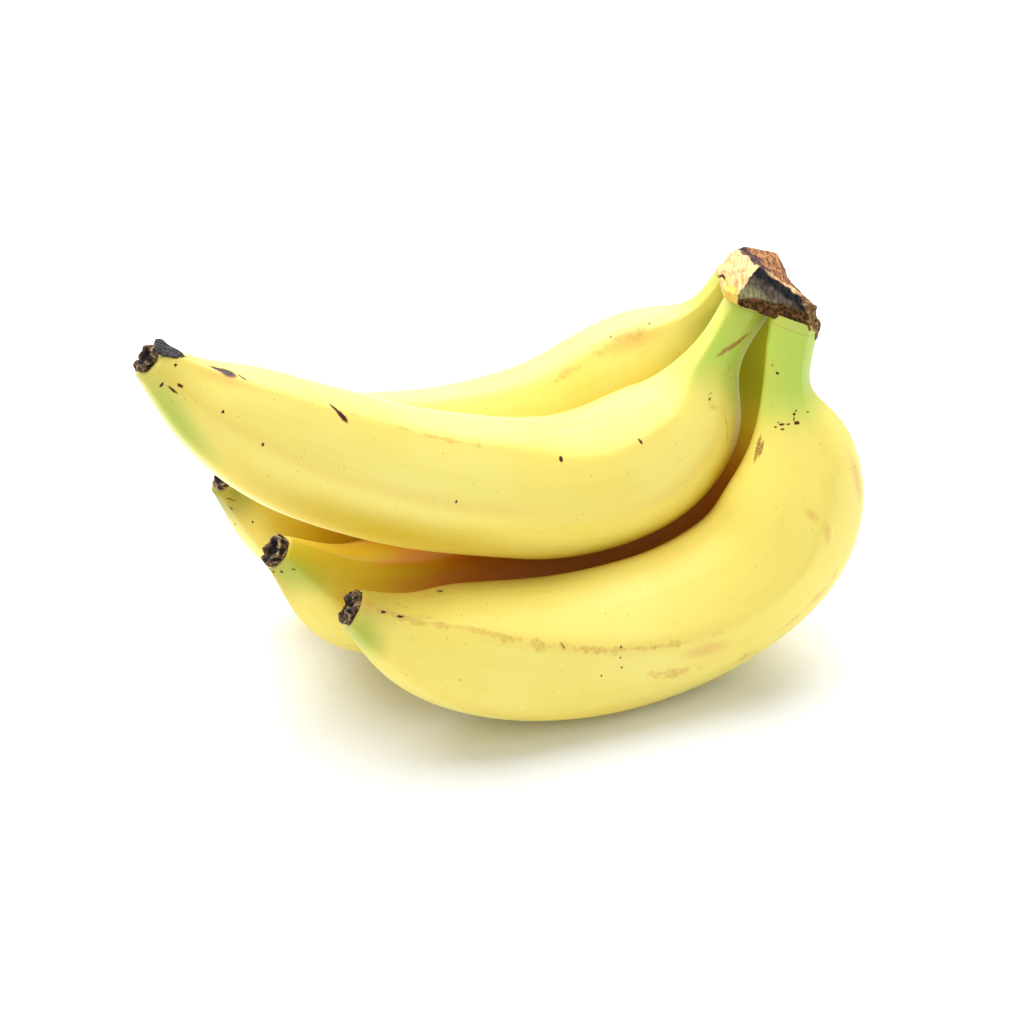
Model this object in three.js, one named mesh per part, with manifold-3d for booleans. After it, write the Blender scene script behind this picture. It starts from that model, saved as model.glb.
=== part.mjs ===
// A bunch of five bananas, lying on a table on the outer curves of its lower row.
// Millimetres, +Z up. +X runs from the blossom ends to the crown, +Y across the hand, away from its near side.
// The origin is on the table, under the middle of the bunch.
import * as THREE from "three";
import { ConvexGeometry } from "three/addons/geometries/ConvexGeometry.js";
import { mergeVertices } from "three/addons/utils/BufferGeometryUtils.js";
import Module from "manifold-3d";

const wasm = await Module();
wasm.setup();

// Driving dimensions
const BODY_RADIUS = 18.8; // the thick middle of a full finger
const RIDGE_DEPTH = 0.36; // 0 is a round section, 1 has flat sides between the ridges
const RIDGE_DEPTH_THIN = 0.35; // how much sharper the ridges are where the finger is thin
const SIDES = 20; // round a finger: a multiple of its five ridges, so that each has a line of vertices
const RINGS = 34; // sections along a finger
const SHOULDER = 0.42; // the share of its length at which a finger reaches its full thickness
const GAP = 0.3; // clearance between pieces that touch
const FLAT_DEPTH = 0.5; // how far the table presses the lower fingers flat
const FLOWER_RADIUS = 5; // a dried flower end
const FLOWER_SIDES = 15;
const CROWN_RIM = 2.5; // thickness of the crown's rough lower rim
const CROWN_TILT = 18; // the crown's underside falls towards +X, in degrees
const UNDERSIDE = new THREE.Vector3(72, 30, 97.5); // a point on the crown's underside
const BUNCH_MIDDLE = new THREE.Vector2(-1.7, 37.5); // the middle of the bunch, in the hand's own X and Y

// Radius along a finger: [share of its length from the crown, share of the body's radius].
const GIRTH = [
  [0, 0.37],
  [0.04, 0.34],
  [0.1, 0.325],
  [0.15, 0.48],
  [0.2, 0.73],
  [0.25, 0.88],
  [0.31, 0.96],
  [0.42, 1],
  [0.6, 1],
  [0.72, 0.98],
  [0.8, 0.93],
  [0.86, 0.84],
  [0.91, 0.68],
  [0.96, 0.46],
  [1, 0.29],
];

// Each finger, in the hand's own frame. The route is its centreline, from inside the crown to the blossom end.
// girth scales its section, and neck the length of its neck. Its ridges are angles from its outer curve, in
// degrees: minus is towards the near side.
const FINGERS = [
  {
    name: "lower_near",
    girth: 1.02,
    neck: 1.09,
    ridges: [-104, -32, 40, 106, 168],
    route: [
      [79.5, 12.5, 100],
      [75.6, 8.5, 79],
      [79.4, 2.5, 58.5],
      [70.6, 0.5, 34.5],
      [43, 0, 21],
      [4, 0, 19],
      [-30, 2, 28.5],
      [-48.2, 9, 39.2],
    ],
  },
  {
    name: "lower_middle",
    girth: 0.97,
    neck: 1,
    ridges: [-148, -80, -8, 62, 134],
    route: [
      [86, 31, 97],
      [81, 35.5, 79],
      [81, 38.4, 59],
      [68, 38.4, 32],
      [40, 38.4, 19.6],
      [4, 38.4, 18.2],
      [-36, 38.4, 24.5],
      [-57.8, 39.5, 42.3],
    ],
  },
  {
    name: "lower_far",
    girth: 0.96,
    neck: 1,
    ridges: [-120, -45, 25, 95, 170],
    route: [
      [89, 53, 96],
      [84, 61, 78],
      [81, 72, 56],
      [66, 76, 31],
      [38, 76, 20],
      [2, 76, 18.5],
      [-38, 74, 27.5],
      [-60.3, 72, 47.7],
    ],
  },
  {
    name: "upper_near",
    girth: 1.02,
    neck: 0.93,
    ridges: [-144, -94, -44, 40, 124],
    route: [
      [75, 24, 103],
      [63, 25, 83],
      [51, 25, 63],
      [21, 24, 54],
      [-17, 22, 63.5],
      [-53, 20, 80.5],
      [-79, 18.5, 99],
      [-93.2, 20.3, 113.2],
    ],
  },
  {
    name: "upper_far",
    girth: 0.9,
    neck: 1.13,
    ridges: [-159, -89, -17, 55, 127],
    route: [
      [80, 42.5, 99],
      [71, 48, 83.8],
      [56, 57, 69],
      [30, 61, 54.5],
      [0, 62, 51.5],
      [-28, 61, 57],
      [-50, 58, 68],
    ],
  },
];

// A dried flower end, from the finger outwards: [distance, share of its radius]. The middle is sunk.
const FLOWER_PROFILE = [
  [0, 0],
  [0, 0.92],
  [0.9, 1],
  [2, 0.94],
  [2.8, 0.74],
  [2.4, 0.45],
  [1.8, 0],
];

// The crown's rim, seen from above, going round from its near left corner.
const CROWN_OUTLINE = [
  [65, 17],
  [79, 4.5],
  [83.5, 6.5],
  [86.5, 16],
  [92, 32],
  [95, 46],
  [95, 56],
  [88, 59],
  [80.5, 53],
  [72, 42],
  [65, 30],
  [62.5, 23],
];

// The crown's cut faces meet at these corners. The near ones are short and steep, the far one long and flat.
const CROWN_NEAR = [
  [64.5, 18, 102.8],
  [72, 11, 102],
  [79, 6, 99],
  [82, 6.5, 101],
  [80, 21, 104],
  [74, 24, 106.5],
];
const CROWN_FAR = [
  [80, 21, 104],
  [74, 24, 106.5],
  [68.5, 36, 101.5],
  [76, 43, 103],
  [81, 44, 103],
  [90, 43, 100.5],
  [92, 56, 95],
  [86, 58, 95.5],
];

// A solid from a closed geometry.
function toSolid(geometry) {
  const bare = geometry.clone();
  bare.deleteAttribute("normal");
  bare.deleteAttribute("uv");
  const merged = mergeVertices(bare, 1e-3);
  return new wasm.Manifold(
    new wasm.Mesh({
      numProp: 3,
      vertProperties: new Float32Array(merged.getAttribute("position").array),
      triVerts: new Uint32Array(merged.index.array),
    }),
  );
}

// A geometry from a solid.
function toGeometry(solid) {
  const mesh = solid.getMesh();
  const geometry = new THREE.BufferGeometry();
  geometry.setAttribute("position", new THREE.BufferAttribute(mesh.vertProperties, mesh.numProp));
  geometry.setIndex(new THREE.BufferAttribute(mesh.triVerts, 1));
  geometry.computeVertexNormals();
  return geometry;
}

// Everything below a height, to cut away what the table presses flat.
function belowHeight(z) {
  const size = 600;
  return toSolid(new THREE.BoxGeometry(size, size, size).translate(0, 0, z - size / 2));
}

// Everything above the crown's underside, to end the necks there.
function aboveUnderside() {
  const size = 200;
  const box = new THREE.BoxGeometry(size, size, size).translate(0, 0, size / 2 - GAP);
  box.rotateY(THREE.MathUtils.degToRad(CROWN_TILT));
  return toSolid(box.translate(UNDERSIDE.x, UNDERSIDE.y, UNDERSIDE.z));
}

// Smooth value of a [place, value] list at a place from 0 to 1.
function curveThrough(points) {
  const curve = new THREE.CatmullRomCurve3(points.map(([x, y]) => new THREE.Vector3(x, y, 0)));
  const samples = curve.getPoints(40 * points.length);
  return (x) => {
    const found = samples.findIndex((p) => p.x >= x);
    const next = Math.max(1, found < 0 ? samples.length - 1 : found);
    const [a, b] = [samples[next - 1], samples[next]];
    return THREE.MathUtils.lerp(a.y, b.y, (x - a.x) / (b.x - a.x));
  };
}

const girthAt = curveThrough(GIRTH);

// The radius of a finger at a share of its length, as a share of its body's radius.
function girthOf(finger, share) {
  const start = SHOULDER * finger.neck;
  if (share < start) {
    return girthAt(share / finger.neck);
  }
  return girthAt(SHOULDER + ((share - start) * (1 - SHOULDER)) / (1 - start));
}

function routeOf(finger) {
  const points = finger.route.map((p) => new THREE.Vector3(...p));
  return new THREE.CatmullRomCurve3(points, false, "catmullrom");
}

// A finger's own axes at a place along its route: forward, sideways, and away from the inside of its curve.
function axesAt(route, place) {
  const forward = route.getTangentAt(place);
  const side = new THREE.Vector3(0, 1, 0).addScaledVector(forward, -forward.y).normalize();
  const outward = new THREE.Vector3().crossVectors(forward, side);
  return { forward, side, outward };
}

// The angle and the share of the radius at a share of the way round a section. Ridges stand at full radius,
// and the peel sinks towards a chord between each two.
function sectionAt(turn, ridges, depth) {
  const count = ridges.length;
  const index = Math.min(Math.floor(turn * count), count - 1);
  const from = ridges[index];
  const to = index + 1 < count ? ridges[index + 1] : ridges[0] + 360;
  const angle = THREE.MathUtils.degToRad(THREE.MathUtils.lerp(from, to, turn * count - index));
  const half = THREE.MathUtils.degToRad((to - from) / 2);
  const middle = THREE.MathUtils.degToRad((to + from) / 2);
  const chord = Math.cos(half) / Math.cos(angle - middle);
  return { angle, share: THREE.MathUtils.lerp(1, chord, depth) * (1 + depth / 10) };
}

// A lathe's straight spindle, bent along the finger's route and given its ridges.
function bendAlongFinger(spindle, finger) {
  const route = routeOf(finger);
  const places = spindle.getAttribute("position");
  for (let i = 0; i < places.count; i++) {
    const [x, share, z] = [places.getX(i), places.getY(i), places.getZ(i)];
    const radius = Math.hypot(x, z);
    const turn = (Math.atan2(-x, z) / (2 * Math.PI) + 1) % 1;
    const thin = 1 - radius / (BODY_RADIUS * finger.girth);
    const section = sectionAt(turn, finger.ridges, RIDGE_DEPTH + RIDGE_DEPTH_THIN * thin);
    const { side, outward } = axesAt(route, share);
    const at = route
      .getPointAt(share)
      .addScaledVector(outward, radius * section.share * Math.cos(section.angle))
      .addScaledVector(side, radius * section.share * Math.sin(section.angle));
    places.setXYZ(i, at.x, at.y, at.z);
  }
  return spindle;
}

// One finger: its peel's outer form, ended at the crown and flattened where it lies on the table.
function makeFinger(finger) {
  const profile = [new THREE.Vector2(0, 0)];
  for (let ring = 0; ring <= RINGS; ring++) {
    const share = ring / RINGS;
    profile.push(new THREE.Vector2(BODY_RADIUS * finger.girth * girthOf(finger, share), share));
  }
  profile.push(new THREE.Vector2(0, 1));
  const spindle = new THREE.LatheGeometry(profile, SIDES);
  return toSolid(bendAlongFinger(spindle, finger)).subtract(aboveUnderside()).subtract(belowHeight(FLAT_DEPTH));
}

// A dried flower end: a short, lumpy plug, just off the end of its finger.
function makeFlowerEnd(finger, index) {
  const profile = FLOWER_PROFILE.map(([along, share]) => new THREE.Vector2(FLOWER_RADIUS * share, along));
  const plug = new THREE.LatheGeometry(profile, FLOWER_SIDES);
  const places = plug.getAttribute("position");
  for (let i = 0; i < places.count; i++) {
    const [x, y, z] = [places.getX(i), places.getY(i), places.getZ(i)];
    const turn = Math.atan2(z, x);
    const lump = 1 + 0.07 * Math.sin(3 * turn + index) + 0.05 * Math.sin(5 * turn + 2 * index);
    places.setXYZ(i, x * lump, y * (1 + 0.2 * Math.sin(2 * turn + index)), z * lump);
  }
  const route = routeOf(finger);
  const { forward } = axesAt(route, 1);
  const start = route.getPointAt(1).addScaledVector(forward, GAP);
  plug.applyQuaternion(new THREE.Quaternion().setFromUnitVectors(new THREE.Vector3(0, 1, 0), forward));
  return toSolid(plug.translate(start.x, start.y, start.z));
}

// The height of the crown's underside at a place.
function undersideAt(x) {
  return UNDERSIDE.z - (x - UNDERSIDE.x) * Math.tan(THREE.MathUtils.degToRad(CROWN_TILT));
}

function hullOf(corners) {
  return toSolid(new ConvexGeometry(corners.map((p) => new THREE.Vector3(...p))));
}

// The crown: a rough rim that the necks run into, and above it the faces left by the knife.
function makeCrown() {
  const base = CROWN_OUTLINE.map(([x, y]) => [x, y, undersideAt(x)]);
  const rim = CROWN_OUTLINE.map(([x, y]) => [x, y, undersideAt(x) + CROWN_RIM]);
  const inset = CROWN_OUTLINE.map(([x, y]) => [
    THREE.MathUtils.lerp(x, UNDERSIDE.x, 0.06),
    THREE.MathUtils.lerp(y, UNDERSIDE.y, 0.03),
    undersideAt(x) + 1,
  ]);
  const near = hullOf([...inset.filter(([, y]) => y < UNDERSIDE.y), ...CROWN_NEAR]);
  const far = hullOf([...inset.filter(([, y]) => y > UNDERSIDE.y - 5), ...CROWN_FAR]);
  return hullOf([...base, ...rim]).add(near).add(far);
}

// Materials
const peel = new THREE.MeshStandardMaterial({ color: 0xf1da58, roughness: 0.5, metalness: 0 });
const driedFlower = new THREE.MeshStandardMaterial({ color: 0x3a2c24, roughness: 0.9, metalness: 0 });
const wood = new THREE.MeshStandardMaterial({ color: 0x6b5340, roughness: 0.9, metalness: 0 });

const bunch = new THREE.Group();

function addPiece(name, solid, material) {
  const mesh = new THREE.Mesh(toGeometry(solid), material.clone());
  mesh.name = name;
  bunch.add(mesh);
}

addPiece("crown", makeCrown(), wood);
FINGERS.forEach((finger, index) => {
  addPiece(`banana_${finger.name}`, makeFinger(finger), peel);
  addPiece(`blossom_end_${finger.name}`, makeFlowerEnd(finger, index), driedFlower);
});
bunch.position.set(-BUNCH_MIDDLE.x, -BUNCH_MIDDLE.y, -FLAT_DEPTH);

const part = new THREE.Group();
part.add(bunch);

export default part;
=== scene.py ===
# The looks of a bunch of five bananas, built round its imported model. Metres, +Z up.
import math
import random

import bmesh
import bpy
import numpy as np
from mathutils import Matrix, Vector, noise
from mathutils.bvhtree import BVHTree


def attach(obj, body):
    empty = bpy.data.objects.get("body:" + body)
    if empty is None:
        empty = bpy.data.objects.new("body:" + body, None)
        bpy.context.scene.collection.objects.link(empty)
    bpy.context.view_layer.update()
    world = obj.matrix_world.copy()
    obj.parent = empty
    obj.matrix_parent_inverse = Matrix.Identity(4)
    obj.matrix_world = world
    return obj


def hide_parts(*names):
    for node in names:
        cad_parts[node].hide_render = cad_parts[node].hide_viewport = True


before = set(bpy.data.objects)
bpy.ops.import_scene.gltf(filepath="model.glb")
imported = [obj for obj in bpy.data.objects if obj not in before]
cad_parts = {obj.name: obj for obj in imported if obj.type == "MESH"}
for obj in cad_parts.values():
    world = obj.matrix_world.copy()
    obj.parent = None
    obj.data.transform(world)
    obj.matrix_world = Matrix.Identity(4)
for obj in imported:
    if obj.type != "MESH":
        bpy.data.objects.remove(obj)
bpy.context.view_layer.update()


# Colours

def colour(red, green, blue):
    """A colour as a screen shows it, from 0 to 255, for a node."""
    screen = np.array([red, green, blue]) / 255
    linear = np.where(screen <= 0.04045, screen / 12.92, ((screen + 0.055) / 1.055) ** 2.4)
    return (*linear.tolist(), 1.0)


# The peel's colours
YELLOW = colour(248, 229, 112)
PALE_YELLOW = colour(250, 235, 128)
GOLD = colour(241, 208, 82)
NECK_GREEN = colour(178, 212, 84)
NECK_OLIVE = colour(196, 202, 80)
TIP_GREEN = colour(150, 148, 14)
DRY_BAND = colour(196, 200, 98)
DRY_LINE = colour(150, 132, 62)
# Painted shade between the fingers: darker gold, olive near the neck, and brown where they close in
# most
CREVICE_SHADE_GOLD = colour(208, 176, 26)
CREVICE_SHADE_OLIVE = colour(172, 170, 14)
CREVICE_SHADE_BROWN = colour(216, 126, 0)
RIDGE_GOLD = colour(232, 192, 72)
SPECK_BROWN = colour(150, 98, 34)
SPOT_EDGE = colour(140, 58, 10)
SPOT_CORE = colour(40, 14, 2)
WEAR_BROWN = colour(202, 138, 52)
SCAR = colour(164, 116, 52)
BLUSH = colour(226, 160, 78)
SOFT_GREEN = colour(152, 190, 62)
# Painted shade, laid on peel that lies in shade
PAINTED_SHADE_GOLD = colour(204, 170, 4)
# Painted light: a paler strip where the floor lights a finger's underside
PAINTED_FLOOR_LIGHT = colour(238, 244, 190)

# The crown's cut faces: between which strengths their streaks grow, and their two colours
CUT_FACES = {
    "pale": [0.43, 0.7, colour(234, 203, 145), colour(190, 142, 90)],
    "top": [0.38, 0.6, colour(104, 66, 46), colour(186, 132, 86)],
    "plum": [0.4, 0.65, colour(50, 34, 40), colour(104, 78, 72)],
    "dark": [0.4, 0.65, colour(12, 13, 16), colour(40, 39, 40)],
    "worn": [0.35, 0.65, colour(54, 46, 40), colour(92, 82, 68)],
    "olive": [0.35, 0.65, colour(104, 100, 70), colour(140, 138, 96)],
    "strip": [0.35, 0.7, colour(226, 196, 142), colour(176, 134, 88)],
}

# The same for its rough rim and its torn end, which have grain in place of streaks
ROUGH_FACES = {
    "rim": [0.4, 0.64, colour(58, 37, 20), colour(120, 84, 48)],
    "end": [0.4, 0.64, colour(96, 70, 42), colour(170, 136, 92)],
}
CUT_YELLOW = colour(230, 196, 92)
CRACK = colour(70, 52, 20)
PIT = colour(26, 16, 10)

# The dried blossom ends' colours, and the floor's. Their hollows are dark, partly their own colour and
# partly painted shade, and their crests pale as a painted highlight.
DRIED_HOLLOW_SHADE = colour(24, 17, 12)
DRIED_FOLD = colour(100, 76, 56)
DRIED_CREST_HIGHLIGHT = colour(192, 166, 130)
SLATE = colour(78, 75, 76)
SLATE_DARK = colour(44, 40, 40)
FLOOR_WHITE = colour(242, 245, 250)
FLOOR_PALE = colour(247, 249, 253)


# Measures

MM = 0.001
HAND_PLACE = np.array([1.7, -37.5, -0.5])  # the hand's own frame in the model's, in millimetres

# The fingers' form, in millimetres and in the hand's own frame
BODY_RADIUS = 18.8  # the thick middle of a full finger
RIDGE_DEPTH = 0.36  # 0 is a round section, 1 has flat sides between the ridges
RIDGE_DEPTH_THIN = 0.35  # how much sharper the ridges are where the finger is thin
RIDGE_ROUNDING = 3.2  # how far a ridge's edge is rounded, in degrees
SHOULDER = 0.42  # the share of its length at which a finger reaches its full thickness
FLAT_HEIGHT = 0.5  # the table's height in the hand's own frame
UNDULATION = 0.35  # how far the peel swells and sinks
UNDULATION_SIZE = 26.0
RINGS = 330
COLUMNS = 190
SMOOTHING = 60  # how many times a whole finger is evened out from ring to ring
BEND_INSIDE = -172  # the angle of the inside of the bend under a neck
BEND_ANGLES = [100, 25]  # how far from there, in degrees, the extra evening out starts and is full
BEND_START = [0.06, 0.12]  # shares of the length between which it grows
BEND_END = [0.42, 0.3]  # shares of the length between which it fades
RIDGE_LINE = 2.2  # half the width of the ripened line along a ridge

# How closed in the peel is by its neighbours, which sets how much shade is painted onto it
COARSE = 5  # rings and columns between two samples
CLOSED_IN_RAYS = 24
CLOSED_IN_START = 0.8  # how far off the peel a ray starts
CLOSED_IN_REACH = 60.0  # how far away a neighbour still counts

# Radius along a finger: [share of its length from the crown, share of the body's radius]
GIRTH = [
    [0, 0.37], [0.04, 0.34], [0.1, 0.325], [0.15, 0.48], [0.2, 0.73], [0.25, 0.88], [0.31, 0.96],
    [0.42, 1], [0.6, 1], [0.72, 0.98], [0.8, 0.93], [0.86, 0.84], [0.91, 0.68], [0.96, 0.46],
    [1, 0.29],
]

# Each finger, by these keys:
# girth: its thickness, and neck: its neck's length, both against a common finger's
# ridges: their angles from its outer curve, in degrees. Minus is towards the near side
# twist: how the ridges turn along it: [share of its length, degrees]
# bend_fill: how many times more the inside of the bend under the neck is evened out
# swells: [share of its length, how far it spreads, angle, how far it spreads, millimetres]
# end_size: its blossom end's size
# petals: dried petals that lie back from the blossom end: [angle, how far back, half its width]
# closed: how strongly shade is painted onto the peel where its neighbours close in on it
# tip_green: how green its tip is
# route: its centreline, from inside the crown to the blossom end
FINGERS = {
    "lower_near": {
        "girth": 1.02,
        "neck": 1.09,
        "ridges": [-104, -32, 40, 106, 168],
        "twist": [[0.2, 16], [0.31, 4], [0.5, -1], [0.62, -9], [0.74, -21], [0.9, -30]],
        "bend_fill": 700,
        "swells": [[0.28, 0.12, -168, 90, 5.4], [0.13, 0.035, -20, 80, -0.9]],
        "end_size": 0.92,
        "closed": 0.25,
        "tip_green": 0.35,
        "route": [
            [79.5, 12.5, 100], [75.6, 8.5, 79], [79.4, 2.5, 58.5], [70.6, 0.5, 34.5], [43, 0, 21],
            [4, 0, 19], [-30, 2, 28.5], [-48.2, 9, 39.2],
        ],
    },
    "lower_middle": {
        "girth": 0.97,
        "neck": 1,
        "ridges": [-148, -80, -8, 62, 134],
        "twist": [[0.8, 0], [0.95, -10], [1, -20]],
        "end_size": 0.85,
        "closed": 1.0,
        "tip_green": 0.6,
        "route": [
            [86, 31, 97], [81, 35.5, 79], [81, 38.4, 59], [68, 38.4, 32], [40, 38.4, 19.6],
            [4, 38.4, 18.2], [-36, 38.4, 24.5], [-57.8, 39.5, 42.3],
        ],
    },
    "lower_far": {
        "girth": 0.96,
        "neck": 1,
        "ridges": [-120, -45, 25, 95, 170],
        "twist": [[0, 0], [1, 0]],
        "end_size": 0.62,
        "closed": 0.62,
        "tip_green": 1.0,
        "route": [
            [89, 53, 96], [84, 61, 78], [81, 72, 56], [66, 76, 31], [38, 76, 20], [2, 76, 18.5],
            [-38, 74, 27.5], [-61.4, 72, 49],
        ],
    },
    "upper_near": {
        "girth": 1.02,
        "neck": 0.93,
        "ridges": [-144, -94, -44, 40, 124],
        "twist": [[0.13, -8], [0.2, 6], [0.3, 9], [0.45, 6], [0.6, 0], [0.8, 0], [0.93, -5], [1, 0]],
        "swells": [[0.27, 0.09, -50, 60, 1.75]],
        "end_size": 0.7,
        "closed": 0.45,
        "petals": [[-150, 5.5, 2.8]],
        "tip_green": 0.3,
        "route": [
            [75, 24, 103], [63, 25, 83], [51, 25, 63], [21, 24, 54], [-17, 22, 63.5],
            [-53, 20, 80.5], [-79, 18.5, 99], [-93.2, 20.3, 113.2],
        ],
    },
    "upper_far": {
        "girth": 0.9,
        "neck": 1.13,
        "ridges": [-159, -89, -17, 55, 127],
        "twist": [[0, 0], [1, 0]],
        "end_size": 0.9,
        "closed": 0.15,
        "tip_green": 0.5,
        "route": [
            [80.6, 42.5, 98.5], [71.6, 48, 83.3], [56, 57, 69], [30, 61, 54.5], [0, 62, 51.5],
            [-28, 61, 57], [-50, 58, 68],
        ],
    },
}

# Marks on the peel, by kind. Each runs from one place to another: a share of the finger's length and an
# angle, the same again, and half its width in millimetres. Spots are dark and sink in, wear and scars
# are speckled brown, and the other kinds are soft patches of colour. Of these, the golden patches are
# painted shade on peel that lies in shade, and the pale patch is painted light where the floor lights
# the underside.
MARKS = {
    "lower_near": {
        "spot": [
            [0.153, -118, 0.153, -115, 0.5], [0.141, -120, 0.141, -118, 0.32],
            [0.145, -120, 0.15, -122, 0.18], [0.153, -143, 0.153, -138, 0.3],
            [0.15, -147, 0.15, -146, 0.22], [0.156, -151, 0.156, -150, 0.25],
            [0.159, -141, 0.159, -139, 0.28], [0.153, -132, 0.153, -130, 0.24],
            [0.144, -92, 0.144, -88, 0.2], [0.138, -115, 0.138, -113, 0.22],
            [0.089, -152, 0.09, -150, 0.3], [0.08, -164, 0.08, -163, 0.22],
            [0.653, -117, 0.653, -116, 0.24], [0.655, -109, 0.655, -108, 0.22],
            [0.653, -100, 0.653, -99, 0.22], [0.682, -96, 0.682, -95, 0.2],
            [0.744, -126, 0.738, -122, 0.2], [0.974, -127, 0.971, -127, 0.3],
            [0.955, -128, 0.95, -129, 0.25],
        ],
        "wear": [
            [0.977, -126, 0.935, -130, 0.7], [0.971, -158, 0.941, -147, 0.4],
            [0.926, -130, 0.895, -135, 0.9], [0.93, -137, 0.898, -142, 1.1],
            [0.893, -135, 0.79, -127, 0.8], [0.79, -126, 0.735, -122, 1.2],
            [0.735, -122, 0.55, -105, 0.8], [0.5, -52, 0.46, -56, 1.6], [0.6, -84, 0.54, -74, 1.2],
            [0.42, -62, 0.33, -58, 1.3],
        ],
        "scar": [[0.168, -171, 0.212, -171, 0.6], [0.176, -166, 0.2, -167, 0.5]],
        "blush": [
            [0.27, -114, 0.275, -107, 1.6], [0.28, -97, 0.306, -90, 1.5],
            [0.222, -51, 0.25, -44, 3.5], [0.996, -150, 0.99, -120, 1.6], [0.56, -95, 0.5, -88, 3],
        ],
        "green": [[0.995, -54, 0.968, -62, 5.5]],
        "ripe": [[0.17, -150, 0.2, -120, 7]],
    },
    "lower_middle": {
        "spot": [
            [0.129, -113, 0.129, -112, 0.4], [0.135, -117, 0.135, -116, 0.2],
            [0.141, -119, 0.141, -118, 0.4], [0.144, -136, 0.144, -134, 0.4],
            [0.132, -138, 0.135, -137, 0.25], [0.177, -132, 0.183, -130, 0.25],
            [0.481, -130, 0.481, -129, 0.55], [0.457, -123, 0.441, -122, 0.45],
            [0.25, -118, 0.251, -117, 0.35], [0.992, -58, 0.992, -57, 0.45],
            [0.998, -36, 0.998, -35, 0.35], [0.986, -86, 0.984, -88, 0.3],
        ],
        "wear": [[0.99, -165, 0.9, -152, 0.6], [0.66, -20, 0.4, -12, 1.6]],
        "blush": [[0.55, 100, 0.5, 120, 4]],
        "green": [[0.99, -110, 0.95, -116, 8]],
        # painted shade, where this part of the peel lies in shade
        "painted_shade": [[0.9, -150, 0.7, -155, 9]],
    },
    "lower_far": {
        "spot": [
            [0.952, -22, 0.952, -21, 0.42], [0.985, -45, 0.977, -47, 0.2],
            [0.995, -56, 0.985, -66, 0.18], [0.95, -64, 0.95, -63, 0.28],
        ],
        "wear": [[0.75, 98, 0.4, 92, 0.9], [0.6, 24, 0.45, 26, 1.5]],
        "blush": [[0.3, 120, 0.35, 100, 4]],
        # painted shade, where this part of the peel lies in shade
        "painted_shade": [[0.95, -88, 0.8, -105, 9]],
    },
    "upper_near": {
        "spot": [
            [0.944, -154, 0.93, -153, 0.95], [0.931, -153, 0.925, -152, 1.75],
            [0.914, -154, 0.908, -148, 0.35], [0.796, -148, 0.786, -143, 0.5],
            [0.786, -143, 0.774, -138, 0.75], [0.447, -137, 0.447, -136, 0.7],
            [0.297, -136, 0.296, -133, 0.45], [0.97, -96, 0.967, -97, 0.4],
            [0.976, -82, 0.966, -83, 0.32], [0.983, -70, 0.983, -79, 0.28],
            [0.984, -124, 0.984, -123, 0.35], [0.919, -102, 0.919, -101, 0.28],
            [0.867, -94, 0.867, -93, 0.32], [0.6, -98, 0.6, -97, 0.3],
            [0.15, -109, 0.15, -108, 0.18], [0.156, -107, 0.158, -109, 0.22],
        ],
        "wear": [
            [0.74, -145, 0.56, -142, 0.5], [0.15, -113, 0.159, -105, 0.9],
            [0.166, -84, 0.188, -71, 0.35], [0.11, -84, 0.123, -90, 0.5],
        ],
        "scar": [[0.108, -124, 0.062, -79, 0.7]],
        "blush": [[0.96, -140, 0.9, -150, 3.5]],
        "green": [[0.99, -52, 0.9, -47, 5.5]],
        "ripe": [[0.04, 176, 0.14, -160, 2.8], [0.16, -150, 0.22, -140, 5]],
        # painted shade along the underside
        "painted_shade": [[0.48, -58, 0.9, -58, 9]],
        # painted light, where the floor lights a strip of the underside
        "pale": [[0.94, -16, 0.55, -18, 7]],
    },
    "upper_far": {
        "spot": [[0.28, -165, 0.28, -164, 0.3], [0.2, -170, 0.2, -168, 0.3]],
        "wear": [[0.3, -160, 0.2, -168, 2.2], [0.45, -150, 0.4, -155, 1.2]],
        "blush": [[0.2, -150, 0.3, -152, 4]],
        "ripe": [[0.04, -150, 0.14, -150, 3]],
    },
}

# The soft patches, as they are painted one after another: colour, and how strongly it covers the peel
SOFT_MARKS = {
    # painted shade, laid on peel that lies in shade
    "painted_shade": [PAINTED_SHADE_GOLD, 0.86],
    # painted light, a paler strip where the floor lights the underside
    "pale": [PAINTED_FLOOR_LIGHT, 0.7],
    "ripe": [YELLOW, 0.62],
    "green": [SOFT_GREEN, 0.75],
    "blush": [BLUSH, 0.45],
}

# Small spots scattered over the far side of each finger: how many, and the least and most of each value
FAR_SPOTS = 9
FAR_SHARES = [0.2, 0.96]
FAR_ANGLES = [15, 165]
FAR_LEANS = [-3, 3]
FAR_WIDTHS = [0.25, 0.5]
FAR_LENGTH = 0.004  # as a share of the finger's length
SPOT_DENT = 0.12  # how far a spot sinks into the peel

# Tiny specks, in three sizes: [cells in a metre, its size in a cell, the share of cells without one]
SPECKS = [[150, 0.055, 0.58], [300, 0.07, 0.6], [520, 0.1, 0.62]]

# The crown, in millimetres and in the hand's own frame
CROWN_TILT = 18  # its underside falls towards +X, in degrees
UNDERSIDE = [72, 30, 97.5]  # a point on its underside
CROWN_RIM = 2.5
NECK_SINK = 1.4  # how far the necks run into it
COLLAR = 1.2  # the dry band at the top of each neck
CROWN_OUTLINE = [
    [65, 17], [79, 4.5], [83.5, 6.5], [86.5, 16], [92, 32], [95, 46], [95, 56], [88, 59],
    [80.5, 53], [73, 42], [66.6, 30.5], [63.2, 23],
]
CROWN_NEAR = [
    [64.5, 18, 102.8], [72, 11, 102], [79, 6, 99], [82, 6.5, 101], [80, 21, 104],
    [66.5, 29.5, 102.6], [74, 24, 106.8],
]
CROWN_FAR = [
    [80, 21, 104], [74, 24, 106.8], [67.6, 36, 101.6], [76, 43, 103], [81, 44, 103.8],
    [90.8, 43, 100.7], [92, 56, 95], [86, 58, 95.5],
]
CROWN_KNOB = [82.6, 8, 93.2]  # a torn stub that hangs at its near end
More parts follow.
